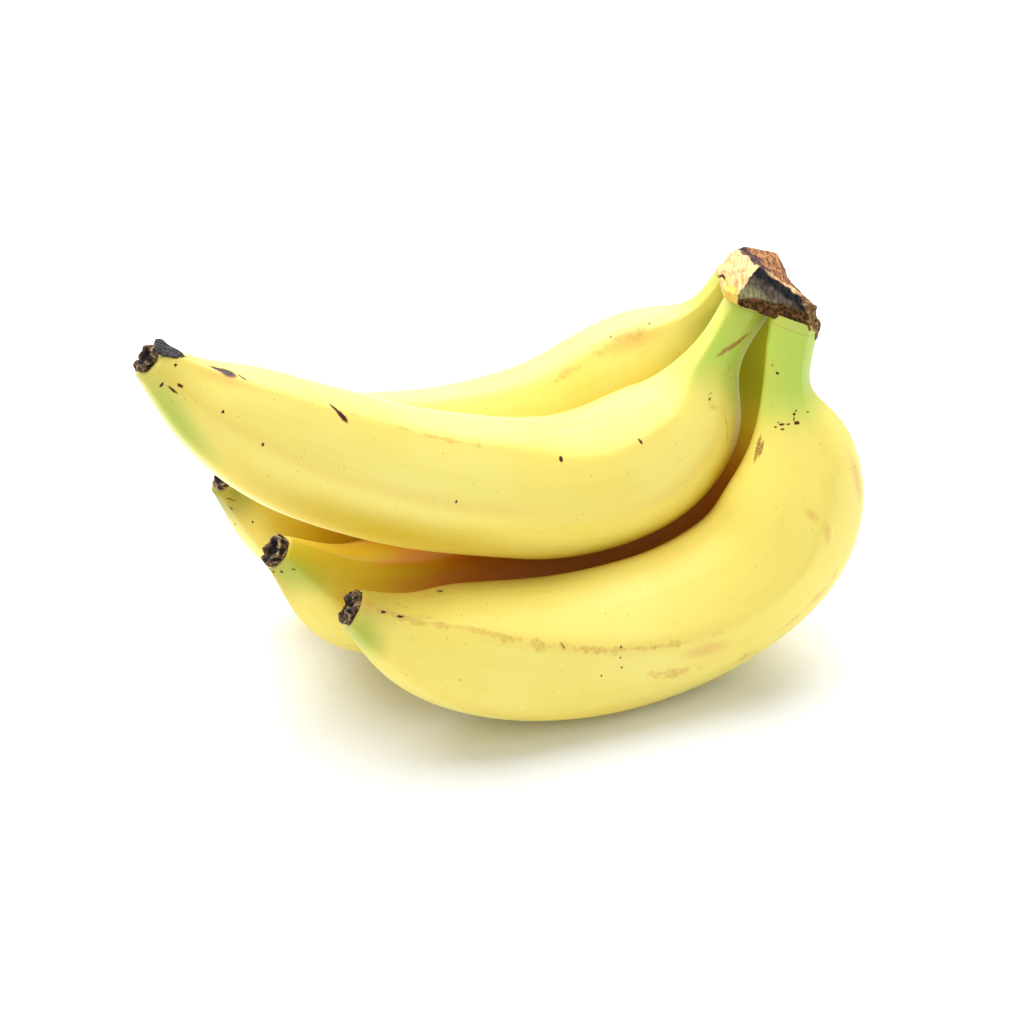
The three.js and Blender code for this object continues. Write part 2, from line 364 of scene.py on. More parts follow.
KNOB_CORNERS = 14  # for each half of it
KNOB_ABOVE = [1.5, 2.0, 3.2]
KNOB_BELOW = [1.3, 1.7, 2.8]
CROWN_VOXEL = 0.32
CROWN_PEAK = [74, 24]  # seen from above, three edges run from here and part the cut faces
EDGE_LEFT = [64.5, 18]
EDGE_BACK = [79, 45]
EDGE_RIGHT = [82, 6.5]
FIBRES = [-0.43, -0.89, -0.1]  # the way the cut fibres run
CUT_RAGGED = 0.9  # how far the edges between its cut faces stray
CUT_BLEND = 0.2  # how far one face fades into the next, either way
STRIP_START = [-0.4, 0]  # a pale strip runs along one edge, between these distances from it
STRIP_END = [1.8, 1.2]
STRIP_FAR_END = [24, 20]  # where along Y the strip fades out
RIM_HEIGHTS = [2.2, 4.4]  # the rough rim's height at its left end and elsewhere
RIM_GROWS = [65, 71]  # where along X the one turns into the other
RIM_STRAYS = 0.6
TORN_END = [[78.8, 79.4], [13, 11]]  # where its torn near end starts along X and along Y
PIT_SIZE = 1.5
PIT_DEPTH = 0.5
YELLOWED = [69.5, 66.5]  # where along X the pale cut face turns yellow
CROWN_CRACK = [[67.4, 29.5], [67.8, 33.5]]  # a dark split in the pale cut face, seen from above
CRACK_HALF_WIDTH = [0.6, 0.25]  # where it fades out and where it is full

# The bark's relief, in millimetres: how far apart its swells are, and how high
BARK_LUMPS = [3.6, 0.3]
BARK_GRIT = [1.3, 0.12]
FIBRE_RELIEF = [0.9, 0.2]
FIBRE_STRETCH = 0.92  # 0 is as lumpy along the fibres as across them, and 1 is even along them

# A dried blossom end, in millimetres. Its profile runs from inside the finger outwards: [share of its
# radius, distance from the finger's end].
BLOSSOM_RADIUS = 4.7
BLOSSOM_COLUMNS = 130
CRUMPLE_OUT = 0.7  # how far its folds stand out sideways
CRUMPLE_AHEAD = 0.45  # how far they stand out along the finger
PETAL_START = 3.0  # how far off the finger's end a petal starts
PETAL_SINK = 0.2
PETAL_HALF_THICKNESS = 0.9
PETAL_ROUGHNESS = 0.35
BLOSSOM_PROFILE = [
    [0, -0.8], [0.95, -0.8], [1.02, 0.4], [1.08, 1.6], [0.98, 2.6], [0.8, 2.9], [0.62, 1.9],
    [0.42, 0.9], [0.2, 0.7], [0, 0.9],
]

# The camera: azimuth and elevation in degrees, place in metres
CAMERA_AZIMUTH = -24
CAMERA_ELEVATION = 29
CAMERA_PLACE = (-0.2242, -0.5267, 0.3596)
CAMERA_LENS = 85
SENSOR_WIDTH = 36

# The floor and the light, in metres and watts
FLOOR_HALF_SIDE = 4.0
FLOOR_DROP = 0.0002  # keeps it just clear of the flat spots
WORLD_LIGHT = 0.68
LIGHT_PLACE = (0.06, 0.66, 1.08)
LIGHT_TARGET = (0, 0, 0.05)
LIGHT_SIZE = 2.2
LIGHT_POWER = 36


# Curves and numbers

def catmull_rom(points, steps, power):
    """Points on a smooth curve through the given ones. Power 0 is uniform, and 0.25 centripetal."""
    points = np.array(points, float)
    first = 2 * points[0] - points[1]
    last = 2 * points[-1] - points[-2]
    padded = np.vstack([first, points, last])
    t = np.linspace(0, 1, steps, endpoint=False)[:, None]
    spans = []
    for p0, p1, p2, p3 in zip(padded, padded[1:], padded[2:], padded[3:]):
        d0 = np.sum((p1 - p0) ** 2) ** power
        d1 = np.sum((p2 - p1) ** 2) ** power
        d2 = np.sum((p3 - p2) ** 2) ** power
        m1 = ((p1 - p0) / d0 - (p2 - p0) / (d0 + d1)) * d1 + p2 - p1
        m2 = ((p3 - p2) / d2 - (p3 - p1) / (d1 + d2)) * d1 + p2 - p1
        spans.append(
            (2 * t**3 - 3 * t**2 + 1) * p1
            + (t**3 - 2 * t**2 + t) * m1
            + (3 * t**2 - 2 * t**3) * p2
            + (t**3 - t**2) * m2
        )
    return np.vstack(spans + [points[-1:]])


def girth_of(finger, share):
    """The radius at a share of a finger's length, as a share of its body's radius."""
    curve = catmull_rom(GIRTH, 40, 0.25)
    start = SHOULDER * finger["neck"]
    neck = share / finger["neck"]
    rest = SHOULDER + (share - start) * (1 - SHOULDER) / (1 - start)
    return np.interp(np.where(share < start, neck, rest), curve[:, 0], curve[:, 1])


def along_route(finger, share):
    """The centre and the finger's own axes at shares of its length, and its length."""
    curve = catmull_rom(finger["route"], 200, 0)
    steps = np.linalg.norm(np.diff(curve, axis=0), axis=1)
    length = np.concatenate([[0], np.cumsum(steps)])
    total = length[-1]
    centre = np.stack([np.interp(share * total, length, curve[:, k]) for k in range(3)], axis=-1)
    slope = np.gradient(curve, length, axis=0)
    forward = np.stack([np.interp(share * total, length, slope[:, k]) for k in range(3)], axis=-1)
    forward /= np.linalg.norm(forward, axis=-1, keepdims=True)
    side = np.array([0, 1, 0]) - forward * forward[..., 1:2]
    side /= np.linalg.norm(side, axis=-1, keepdims=True)
    outward = np.cross(forward, side)
    return centre, forward, side, outward, total


def smooth_step(value, low, high):
    t = np.clip((value - low) / (high - low), 0, 1)
    return t * t * (3 - 2 * t)


def turn_between(angle, other):
    """The shorter way from other to angle, in degrees."""
    return (angle - other + 180) % 360 - 180


def section_shape(ridges):
    """For each degree from -180: 1 at a ridge, and less where the peel sinks between two."""
    angles = np.arange(-180, 180)
    shape = np.ones(360)
    for start, end in zip(ridges, ridges[1:] + [ridges[0] + 360]):
        half = math.radians((end - start) / 2)
        off = turn_between(angles, (start + end) / 2)
        inside = np.abs(off) <= (end - start) / 2
        shape[inside] = math.cos(half) / np.cos(np.radians(off[inside]))
    reach = np.arange(-20, 21)
    weights = np.exp(-0.5 * (reach / RIDGE_ROUNDING) ** 2)
    weights /= weights.sum()
    return sum(w * np.roll(shape, k) for w, k in zip(weights, reach))


def noise_at(points, size, seed):
    """Smooth noise from -1 to 1 at each point, with swells of about that size."""
    shift = Vector((seed * 3.7, seed * 1.3, seed * 2.1))
    return np.array([noise.noise(Vector(p) / size + shift) for p in points.reshape(-1, 3).tolist()])


def smooth_along(grid, passes, weight):
    """Evens a grid out from ring to ring as far as the weight says, and leaves its two ends."""
    for _ in range(passes):
        grid[1:-1] += weight * (grid[:-2] - 2 * grid[1:-1] + grid[2:]) / 4
    return grid


# Meshes

def new_piece(name, mesh, material, body, node):
    piece = bpy.data.objects.new(name, mesh)
    bpy.context.scene.collection.objects.link(piece)
    mesh.materials.append(material)
    for polygon in mesh.polygons:
        polygon.use_smooth = True
    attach(piece, body)
    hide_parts(node)
    return piece


def grid_faces(rings, columns):
    """The quads of a tube with that many rings and columns."""
    index = np.arange(rings * columns).reshape(rings, columns)
    a = index[:-1]
    b = index[1:]
    return np.stack([a, np.roll(a, -1, 1), np.roll(b, -1, 1), b], axis=-1).reshape(-1, 4).tolist()


def tube_mesh(name, tubes):
    """Closed tubes, each from points[ring, column] in millimetres, as one mesh."""
    verts = []
    faces = []
    for points in tubes:
        rings, columns = points.shape[:2]
        start = len(verts)
        ends = [list(range(columns)), list(range(rings * columns - 1, (rings - 1) * columns - 1, -1))]
        faces += [[start + corner for corner in face] for face in grid_faces(rings, columns) + ends]
        verts += (points.reshape(-1, 3) * MM).tolist()
    mesh = bpy.data.meshes.new(name)
    mesh.from_pydata(verts, [], faces)
    return mesh


def add_value(mesh, name, values):
    attribute = mesh.attributes.new(name, "FLOAT", "POINT")
    attribute.data.foreach_set("value", np.asarray(values, np.float32).ravel())


def add_vector(mesh, name, values):
    attribute = mesh.attributes.new(name, "FLOAT_VECTOR", "POINT")
    attribute.data.foreach_set("vector", np.asarray(values, np.float32).ravel())


def underside_normal():
    tilt = math.radians(CROWN_TILT)
    return np.array([math.sin(tilt), 0, math.cos(tilt)])


def cut_at_crown(mesh):
    """Ends a finger's neck inside the crown, a little above its underside."""
    normal = Vector(underside_normal())
    place = Vector((HAND_PLACE + UNDERSIDE) * MM) + normal * NECK_SINK * MM
    work = bmesh.new()
    work.from_mesh(mesh)
    everything = work.verts[:] + work.edges[:] + work.faces[:]
    bmesh.ops.bisect_plane(work, geom=everything, plane_co=place, plane_no=normal, clear_outer=True)
    rim = [edge for edge in work.edges if edge.is_boundary]
    bmesh.ops.edgeloop_fill(work, edges=rim)
    bmesh.ops.recalc_face_normals(work, faces=work.faces)
    work.to_mesh(mesh)
    work.free()


# Fingers

def radius_at(finger, share):
    return BODY_RADIUS * finger["girth"] * girth_of(finger, share)


def mark_ends(finger, mark, length):
    """A mark's two ends on the straightened finger, in millimetres."""
    ends = []
    for share, angle in (mark[0:2], mark[2:4]):
        radius = float(radius_at(finger, np.array([min(share, 1.0)]))[0])
        turn = math.radians(angle)
        ends.append(np.array([radius * math.cos(turn), radius * math.sin(turn), share * length]))
    return ends


def nearness(straight, finger, mark, length):
    """1 in the middle of a mark, and 0 outside it."""
    start, end = mark_ends(finger, mark, length)
    line = end - start
    t = np.clip(((straight - start) @ line) / (line @ line), 0, 1)
    distance = np.linalg.norm(straight - start - t[..., None] * line, axis=-1)
    return smooth_step(distance, mark[4] * 1.3, mark[4] * 0.3)


def finger_grid(name, finger, seed):
    """One finger's points, and the straightened ones that its marks are placed by."""
    share = np.linspace(0, 1, RINGS + 1)[:, None]
    angle = np.linspace(-180, 180, COLUMNS, endpoint=False)[None, :]
    centre, forward, side, outward, length = along_route(finger, share[:, 0])
    radius = radius_at(finger, share)
    depth = RIDGE_DEPTH + RIDGE_DEPTH_THIN * (1 - radius / (BODY_RADIUS * finger["girth"]))
    twist = catmull_rom(finger["twist"], 20, 0.25)
    turned = turn_between(angle, np.interp(share, twist[:, 0], twist[:, 1]))
    shape = section_shape(finger["ridges"])
    chord = np.interp(turned, np.arange(-180, 181), np.append(shape, shape[0]))
    reach = radius * (1 + depth * (chord - 1)) * (1 + depth / 10)
    radians = np.radians(angle)
    along = np.broadcast_to(share * length, reach.shape)
    straight = np.stack([radius * np.cos(radians), radius * np.sin(radians), along], axis=-1)
    swell = noise_at(straight, UNDULATION_SIZE, seed).reshape(reach.shape)
    reach = reach + UNDULATION * swell * np.minimum(1, radius / BODY_RADIUS)
    for at, length_spread, turn, turn_spread, amount in finger.get("swells", []):
        across = smooth_step(np.abs(turn_between(angle, turn)), turn_spread, 0)
        reach = reach + amount * across * np.exp(-(((share - at) / length_spread) ** 2))
    for mark in MARKS[name]["spot"]:
        reach = reach - SPOT_DENT * nearness(straight, finger, mark, length)
    points = (
        centre[:, None]
        + outward[:, None] * (reach * np.cos(radians))[..., None]
        + side[:, None] * (reach * np.sin(radians))[..., None]
    )
    points = smooth_along(points, SMOOTHING, 1.0)
    inside = smooth_step(np.abs(turn_between(angle, BEND_INSIDE)), *BEND_ANGLES)
    inside = inside * smooth_step(share, *BEND_START) * smooth_step(share, *BEND_END)
    points = smooth_along(points, finger.get("bend_fill", 0), inside[1:-1, :, None])
    points[..., 2] = np.maximum(points[..., 2], FLAT_HEIGHT)
    off = np.min([np.abs(turn_between(turned, ridge)) for ridge in finger["ridges"]], axis=0)
    return {
        "points": points,
        "straight": straight,
        "along": np.broadcast_to(share, reach.shape),
        "ridge": np.exp(-((np.radians(off) * reach / RIDGE_LINE) ** 2)),
        "below": (np.array(UNDERSIDE) - points) @ underside_normal(),
        "length": length,
    }


def half_sphere(count):
    """Directions spread over the half sphere about +Z, denser towards its middle."""
    index = np.arange(count) + 0.5
    height = np.sqrt(1 - index / count)
    turn = index * math.pi * (3 - math.sqrt(5))
    flat = np.sqrt(1 - height**2)
    return np.stack([flat * np.cos(turn), flat * np.sin(turn), height], axis=-1)


def spread(coarse):
    """A full grid from one that has only every few rings and columns."""
    ring = np.arange(RINGS + 1) / COARSE
    low = np.minimum(ring.astype(int), len(coarse) - 2)
    part = (ring - low)[:, None]
    rows = coarse[low] * (1 - part) + coarse[low + 1] * part
    column = np.arange(COLUMNS) / COARSE
    left = column.astype(int)
    part = column - left
    return rows[:, left] * (1 - part) + rows[:, (left + 1) % coarse.shape[1]] * part


def closed_in(grids):
    """For each finger's vertices: how far its neighbours close in on them, from 0 to 1, which sets how
    much shade is painted onto its peel.
    """
    verts = []
    faces = []
    for grid in grids.values():
        coarse = grid["points"][::COARSE, ::COARSE]
        start = len(verts)
        verts += coarse.reshape(-1, 3).tolist()
        faces += [[start + corner for corner in face] for face in grid_faces(*coarse.shape[:2])]
    tree = BVHTree.FromPolygons(verts, faces)
    rays = half_sphere(CLOSED_IN_RAYS)
    for grid in grids.values():
        coarse = grid["points"][::COARSE, ::COARSE]
        across = np.roll(coarse, -1, 1) - np.roll(coarse, 1, 1)
        normal = np.cross(np.gradient(coarse, axis=0), across)
        normal /= np.linalg.norm(normal, axis=-1, keepdims=True) + 1e-9
        values = []
        for place, up in zip(coarse.reshape(-1, 3), normal.reshape(-1, 3)):
            turn = Vector(up).to_track_quat("Z", "Y").to_matrix()
            start = Vector(place + up * CLOSED_IN_START)
            total = 0
            for ray in rays:
                hit = tree.ray_cast(start, turn @ Vector(ray), CLOSED_IN_REACH)
                if hit[3] is not None:
                    total += 1 - hit[3] / CLOSED_IN_REACH
            values.append(total / len(rays))
        grid["deep"] = spread(np.array(values).reshape(coarse.shape[:2]))


def finger_mesh(name, grid):
    """One finger's peel, with what its material reads stored at each vertex."""
    mesh = tube_mesh(name, [grid["points"] + HAND_PLACE])
    for value in ("along", "ridge", "deep", "below"):
        add_value(mesh, value, grid[value])
    add_vector(mesh, "straight", grid["straight"] * MM)
    cut_at_crown(mesh)
    return mesh


# Materials

class Nodes:
    """Short calls for a material's nodes. Each returns an output socket."""

    def __init__(self, name):
        self.material = bpy.data.materials.new(name)
        self.material.use_nodes = True
        self.tree = self.material.node_tree
        self.shader = self.tree.nodes["Principled BSDF"]

    def link(self, value, socket):
        if isinstance(value, bpy.types.NodeSocket):
            self.tree.links.new(value, socket)
        else:
            socket.default_value = value

    def attribute(self, name, output="Fac"):
        node = self.tree.nodes.new("ShaderNodeAttribute")
        node.attribute_name = name
        return node.outputs[output]

    def place(self):
        return self.tree.nodes.new("ShaderNodeTexCoord").outputs["Object"]

    def mapped(self, vector, location=(0, 0, 0), rotation=(0, 0, 0), size=(1, 1, 1)):
        """The vector as seen from a box at that place, turned and sized like that."""
        node = self.tree.nodes.new("ShaderNodeMapping")
        node.vector_type = "TEXTURE"
        self.link(vector, node.inputs["Vector"])
        node.inputs["Location"].default_value = location
        node.inputs["Rotation"].default_value = rotation
        node.inputs["Scale"].default_value = size
        return node.outputs["Vector"]

    def vector_math(self, operation, a, b=(0.0, 0.0, 0.0), output="Vector"):
        node = self.tree.nodes.new("ShaderNodeVectorMath")
        node.operation = operation
        self.link(a, node.inputs[0])
        self.link(b, node.inputs[1])
        return node.outputs[output]

    def noise(self, vector, scale, detail=3.0, roughness=0.5, output="Fac"):
        node = self.tree.nodes.new("ShaderNodeTexNoise")
        self.link(vector, node.inputs["Vector"])
        node.inputs["Scale"].default_value = scale
        node.inputs["Detail"].default_value = detail
        node.inputs["Roughness"].default_value = roughness
        return node.outputs[output]

    def cells(self, vector, scale, output="Distance"):
        node = self.tree.nodes.new("ShaderNodeTexVoronoi")
        self.link(vector, node.inputs["Vector"])
        node.inputs["Scale"].default_value = scale
        return node.outputs[output]

    def warped(self, vector, scale, amount):
        """The vector shaken by noise, so that a mark placed by it gets a ragged outline."""
        cloud = self.noise(vector, scale, 2, output="Color")
        shake = self.vector_math("SUBTRACT", cloud, (0.5, 0.5, 0.5))
        shake = self.vector_math("MULTIPLY", shake, (amount, amount, amount))
        return self.vector_math("ADD", vector, shake)

    def math(self, operation, a, b=0.0):
        node = self.tree.nodes.new("ShaderNodeMath")
        node.operation = operation
        self.link(a, node.inputs[0])
        self.link(b, node.inputs[1])
        return node.outputs[0]

    def ramp(self, value, low, high, to_low=0.0, to_high=1.0):
        node = self.tree.nodes.new("ShaderNodeMapRange")
        node.interpolation_type = "SMOOTHSTEP"
        self.link(value, node.inputs["Value"])
        node.inputs["From Min"].default_value = low
        node.inputs["From Max"].default_value = high
        self.link(to_low, node.inputs["To Min"])
        self.link(to_high, node.inputs["To Max"])
        return node.outputs["Result"]

    def mix(self, share, a, b):
        node = self.tree.nodes.new("ShaderNodeMix")
        node.data_type = "RGBA"
        self.link(share, node.inputs["Factor"])
        self.link(a, node.inputs["A"])
        self.link(b, node.inputs["B"])
        return node.outputs["Result"]

    def bump(self, height, strength, distance, normal=None):
        node = self.tree.nodes.new("ShaderNodeBump")
        self.link(height, node.inputs["Height"])
        node.inputs["Strength"].default_value = strength
        node.inputs["Distance"].default_value = distance
        if normal is not None:
            self.link(normal, node.inputs["Normal"])
        return node.outputs["Normal"]

    def set(self, name, value):
        self.link(value, self.shader.inputs[name])


def peel_material(name, finger, marks, length, seed):
    n = Nodes(name)
    place = n.mapped(n.place(), location=(seed * 0.31, seed * 0.17, 0))
    straight = n.attribute("straight", "Vector")
    ragged = n.warped(straight, 800, 0.0016)
    frayed = n.warped(straight, 1500, 0.0007)
    fibres = n.noise(n.mapped(straight, size=(0.0035, 0.0035, 0.06)), 1.0, 4)
    patches = n.noise(place, 30, 3)
    base = n.mix(n.ramp(patches, 0.35, 0.7), YELLOW, PALE_YELLOW)
    base = n.mix(n.ramp(fibres, 0.5, 0.8, 0, 0.3), base, GOLD)
    base = add_greens(n, base, finger, patches)
    for kind in SOFT_MARKS:
        vector = ragged if kind == "blush" else straight
        base = add_soft_marks(n, base, finger, marks, length, kind, vector)
    past_neck = n.ramp(n.attribute("along"), 0.13, 0.22)
    ripened = n.math("MULTIPLY", n.ramp(patches, 0.3, 0.6, 0.05, 0.32), past_neck)
    ridge = n.math("MULTIPLY", n.attribute("ridge"), ripened)
    base = n.mix(ridge, base, RIDGE_GOLD)
    base = add_wear(n, base, finger, marks, length, ragged)
    base = add_scars(n, base, finger, marks, length, frayed)
    base = add_specks(n, base, place)
    base = add_spots(n, base, finger, marks, length, frayed)
    # Painted shade: where the neighbours close in, the peel turns darker gold, olive near the neck, and
    # past the neck brown where they close in most
    deep = n.math("MULTIPLY", n.attribute("deep"), finger["closed"])
    near_neck = n.ramp(n.attribute("along"), 0.14, 0.22, 1, 0)
    base = n.mix(n.ramp(deep, 0.06, 0.42, 0, 1.0), base, n.mix(near_neck, CREVICE_SHADE_GOLD, CREVICE_SHADE_OLIVE))
    brown_shade_share = n.ramp(n.attribute("along"), 0.2, 0.3, 0, 0.95)
    base = n.mix(n.ramp(deep, 0.4, 0.66, 0, brown_shade_share), base, CREVICE_SHADE_BROWN)
    n.set("Base Color", base)
    n.set("Roughness", n.ramp(fibres, 0.3, 0.7, 0.42, 0.5))
    n.set("Specular IOR Level", 0.4)
    n.set("Subsurface Weight", 0.12)
    n.set("Subsurface Radius", (0.004, 0.0025, 0.0008))
    n.set("Subsurface Scale", 1.0)
    pores = n.noise(place, 1500, 2)
    n.set("Normal", n.bump(pores, 0.06, 0.0002, n.bump(fibres, 0.2, 0.0004)))
    return n.material


def add_greens(n, base, finger, patches):
    """The green neck, the dry band at its top, and the greenish tip."""
    along = n.attribute("along")
    shift = n.math("SUBTRACT", patches, 0.5)
    neck = n.math("ADD", along, n.math("MULTIPLY", shift, 0.06))
    green = n.mix(n.ramp(patches, 0.4, 0.6), NECK_GREEN, NECK_OLIVE)
    base = n.mix(n.ramp(neck, 0.1, 0.185, 0.92, 0), base, green)
    tip = n.math("ADD", along, n.math("MULTIPLY", shift, 0.08))
    base = n.mix(n.ramp(tip, 0.93, 0.995, 0, finger["tip_green"]), base, TIP_GREEN)
    below = n.math("ADD", n.attribute("below"), n.math("MULTIPLY", shift, 1.4))
    foot = n.math("ABSOLUTE", n.math("SUBTRACT", below, COLLAR))
    base = n.mix(n.ramp(below, COLLAR - 0.9, COLLAR, 0.6, 0), base, DRY_BAND)
    return n.mix(n.ramp(foot, 0.3, 0.05, 0, 0.3), base, DRY_LINE)


def mark_distance(n, finger, marks, length, vector):
    """0 in the middle of the nearest of the marks, and 1 at its outline."""
    nearest = None
    for mark in marks:
        start, end = mark_ends(finger, mark, length)
        middle = (start + end) / 2
        line = Vector(end - start)
        half = line.length / 2 + mark[4]
        line.normalize()
        outwards = Vector((middle[0], middle[1], 0))
        outwards = (outwards - line * outwards.dot(line)).normalized()
        turn = Matrix((line, outwards.cross(line), outwards)).transposed().to_euler()
        size = Vector((half, mark[4], mark[4] * 3)) * MM
        seen = n.mapped(vector, Vector(middle * MM), turn, size)
        distance = n.vector_math("LENGTH", seen, output="Value")
        nearest = distance if nearest is None else n.math("MINIMUM", nearest, distance)
    return nearest


def add_soft_marks(n, base, finger, marks, length, kind, vector):
    if kind not in marks:
        return base
    tint, strength = SOFT_MARKS[kind]
    distance = mark_distance(n, finger, marks[kind], length, vector)
    return n.mix(n.ramp(distance, 1.2, 0.1, 0, strength), base, tint)


def add_wear(n, base, finger, marks, length, vector):
    distance = mark_distance(n, finger, marks["wear"], length, vector)
    ebb = n.math("SUBTRACT", n.noise(vector, 190, 2), 0.5)
    worn = n.ramp(n.math("ADD", distance, n.math("MULTIPLY", ebb, 5.0)), 1.3, 0.3)
    grit = n.ramp(n.noise(vector, 1500, 4, 0.65), 0.46, 0.66, 0.25, 0.6)
    return n.mix(n.math("MULTIPLY", worn, grit), base, WEAR_BROWN)


def add_scars(n, base, finger, marks, length, vector):
    if "scar" not in marks:
        return base
    distance = mark_distance(n, finger, marks["scar"], length, vector)
    grit = n.ramp(n.noise(vector, 1400, 3, 0.6), 0.35, 0.6, 0.65, 1.0)
    return n.mix(n.math("MULTIPLY", n.ramp(distance, 1.1, 0.6), grit), base, SCAR)


def add_spots(n, base, finger, marks, length, vector):
    distance = mark_distance(n, finger, marks["spot"], length, vector)
    base = n.mix(n.ramp(distance, 1.25, 0.85, 0, 0.9), base, SPOT_EDGE)
    return n.mix(n.ramp(distance, 0.95, 0.55), base, SPOT_CORE)


def add_specks(n, base, place):
    """Tiny brown specks, with more of them on the ridges."""
    more = n.math("MULTIPLY", n.attribute("ridge"), 0.14)
    for scale, size, empty in SPECKS:
        dot = n.ramp(n.cells(place, scale), size, size * 0.5)
        some = n.ramp(n.math("ADD", n.cells(place, scale, "Color"), more), empty, empty + 0.06)
        base = n.mix(n.math("MULTIPLY", n.math("MULTIPLY", dot, some), 0.75), base, SPECK_BROWN)
    return base


def two_tone(n, value, low, high, first, second):
    """The first colour where the value is below low, and the second where it is above high."""
    return n.mix(n.ramp(value, low, high), first, second)


def crown_material():
    n = Nodes("crown_bark")
    place = n.place()
    turn = Vector(FIBRES).to_track_quat("Z", "Y").to_euler()
    streaks = n.noise(n.mapped(place, rotation=turn, size=(0.0007, 0.0007, 0.012)), 1.0, 4, 0.55)
    grain = n.noise(place, 900, 4, 0.6)
    blotches = n.noise(place, 220, 3)
    face = {name: two_tone(n, streaks, *tones) for name, tones in CUT_FACES.items()}
    face.update({name: two_tone(n, grain, *tones) for name, tones in ROUGH_FACES.items()})
    yellowed = n.math("MULTIPLY", n.ramp(blotches, 0.4, 0.65), n.attribute("yellowing"))
    pale = n.mix(yellowed, face["pale"], CUT_YELLOW)
    pale = n.mix(n.attribute("crack"), pale, CRACK)
    from_back = n.math("ADD", n.attribute("from_back"), n.math("MULTIPLY", blotches, 3.0))
    top = n.mix(n.ramp(from_back, 3.0, 5.5), face["plum"], face["top"])
    dark = n.mix(n.ramp(n.attribute("from_ridge"), 2.8, 4.4), face["dark"], face["worn"])
    dark = n.mix(n.ramp(n.attribute("from_ridge"), 5.5, 9.0), dark, face["olive"])
    rim = n.mix(n.ramp(n.attribute("pit"), 0.5, 0.95), face["rim"], PIT)
    base = n.mix(n.attribute("pale"), top, pale)
    base = n.mix(n.attribute("dark"), base, dark)
    base = n.mix(n.attribute("strip"), base, face["strip"])
    base = n.mix(n.attribute("rim"), base, rim)
    base = n.mix(n.attribute("end"), base, face["end"])
    n.set("Base Color", base)
    n.set("Roughness", n.ramp(grain, 0.3, 0.7, 0.7, 0.95))
    n.set("Specular IOR Level", 0.1)
    n.set("Normal", n.bump(grain, 0.4, 0.0003, n.bump(streaks, 0.6, 0.0005)))
    return n.material


def dried_material():
    n = Nodes("dried_blossom")
    grain = n.noise(n.place(), 1400, 4, 0.6)
    crumble = n.math("MULTIPLY", n.math("SUBTRACT", grain, 0.5), 0.5)
    crest = n.math("ADD", n.attribute("crest"), crumble)
    # Dark in the folds' hollows, partly the dried end's own colour and partly painted shade, and pale
    # on their crests as a painted highlight
    base = n.mix(n.ramp(crest, 0.3, 0.62), DRIED_HOLLOW_SHADE, DRIED_FOLD)
    base = n.mix(n.ramp(crest, 0.68, 0.95), base, DRIED_CREST_HIGHLIGHT)
    base = n.mix(n.attribute("slate"), base, two_tone(n, grain, 0.4, 0.65, SLATE, SLATE_DARK))
    n.set("Base Color", base)
    n.set("Roughness", n.ramp(grain, 0.3, 0.7, 0.65, 0.95))
    n.set("Specular IOR Level", 0.3)
    n.set("Normal", n.bump(grain, 0.5, 0.0003))
    return n.material


def floor_material():
    n = Nodes("floor_white")
    n.set("Base Color", n.mix(n.noise(n.place(), 6, 2), FLOOR_WHITE, FLOOR_PALE))
    n.set("Roughness", 0.8)
    return n.material


# Crown

def underside_at(x):
    return UNDERSIDE[2] - (x - UNDERSIDE[0]) * math.tan(math.radians(CROWN_TILT))


def crown_hulls():
    """The corner sets whose hulls make up the crown."""
    rim_low = [[x, y, underside_at(x)] for x, y in CROWN_OUTLINE]
    rim_high = [[x, y, z + CROWN_RIM] for x, y, z in rim_low]
    inset = [
        [x * 0.94 + UNDERSIDE[0] * 0.06, y * 0.97 + UNDERSIDE[1] * 0.03, z + 1] for x, y, z in rim_low
    ]
    near = [p for p in inset if p[1] < UNDERSIDE[1]] + CROWN_NEAR
    far = [p for p in inset if p[1] > UNDERSIDE[1] - 5] + CROWN_FAR
    knob = (np.array(CROWN_KNOB) + half_sphere(KNOB_CORNERS) * KNOB_ABOVE).tolist()
    knob += (np.array(CROWN_KNOB) - half_sphere(KNOB_CORNERS) * KNOB_BELOW).tolist()
    return [rim_low + rim_high, near, far, knob]


def remeshed(mesh, voxel):
    """One closed skin of small even faces over all the hulls."""
    lump = bpy.data.objects.new("crown_lump", mesh)
    bpy.context.scene.collection.objects.link(lump)
    remesh = lump.modifiers.new("skin", "REMESH")
    remesh.mode = "VOXEL"
    remesh.voxel_size = voxel
    shown = lump.evaluated_get(bpy.context.evaluated_depsgraph_get())
    skin = bpy.data.meshes.new_from_object(shown)
    bpy.data.objects.remove(lump)
    return skin


def past_edge(points, end):
    """How far each point lies to the left of the edge from the crown's peak to end, from above."""
    flat = points[:, :2] - CROWN_PEAK
    edge = np.array(end) - CROWN_PEAK
    return (edge[0] * flat[:, 1] - edge[1] * flat[:, 0]) / np.linalg.norm(edge)


def sector(points, start, end):
    """How far inside the sector between two of the crown's edges each point is, seen from above."""
    return np.minimum(past_edge(points, start), -past_edge(points, end))


def cut_near(points, line):
    """1 along a short line on the crown, seen from above, and 0 away from it."""
    start, end = np.array(line)
    t = np.clip(((points[:, :2] - start) @ (end - start)) / ((end - start) @ (end - start)), 0, 1)
    off = np.linalg.norm(points[:, :2] - start - t[:, None] * (end - start), axis=1)
    return smooth_step(off, *CRACK_HALF_WIDTH)


def pits_at(points, size):
    """1 in the middle of each small pit of a rough surface, and 0 between them."""
    near = [noise.voronoi(Vector(p) / size)[0][0] for p in points.tolist()]
    return 1 - smooth_step(np.array(near), 0.1, 0.45)


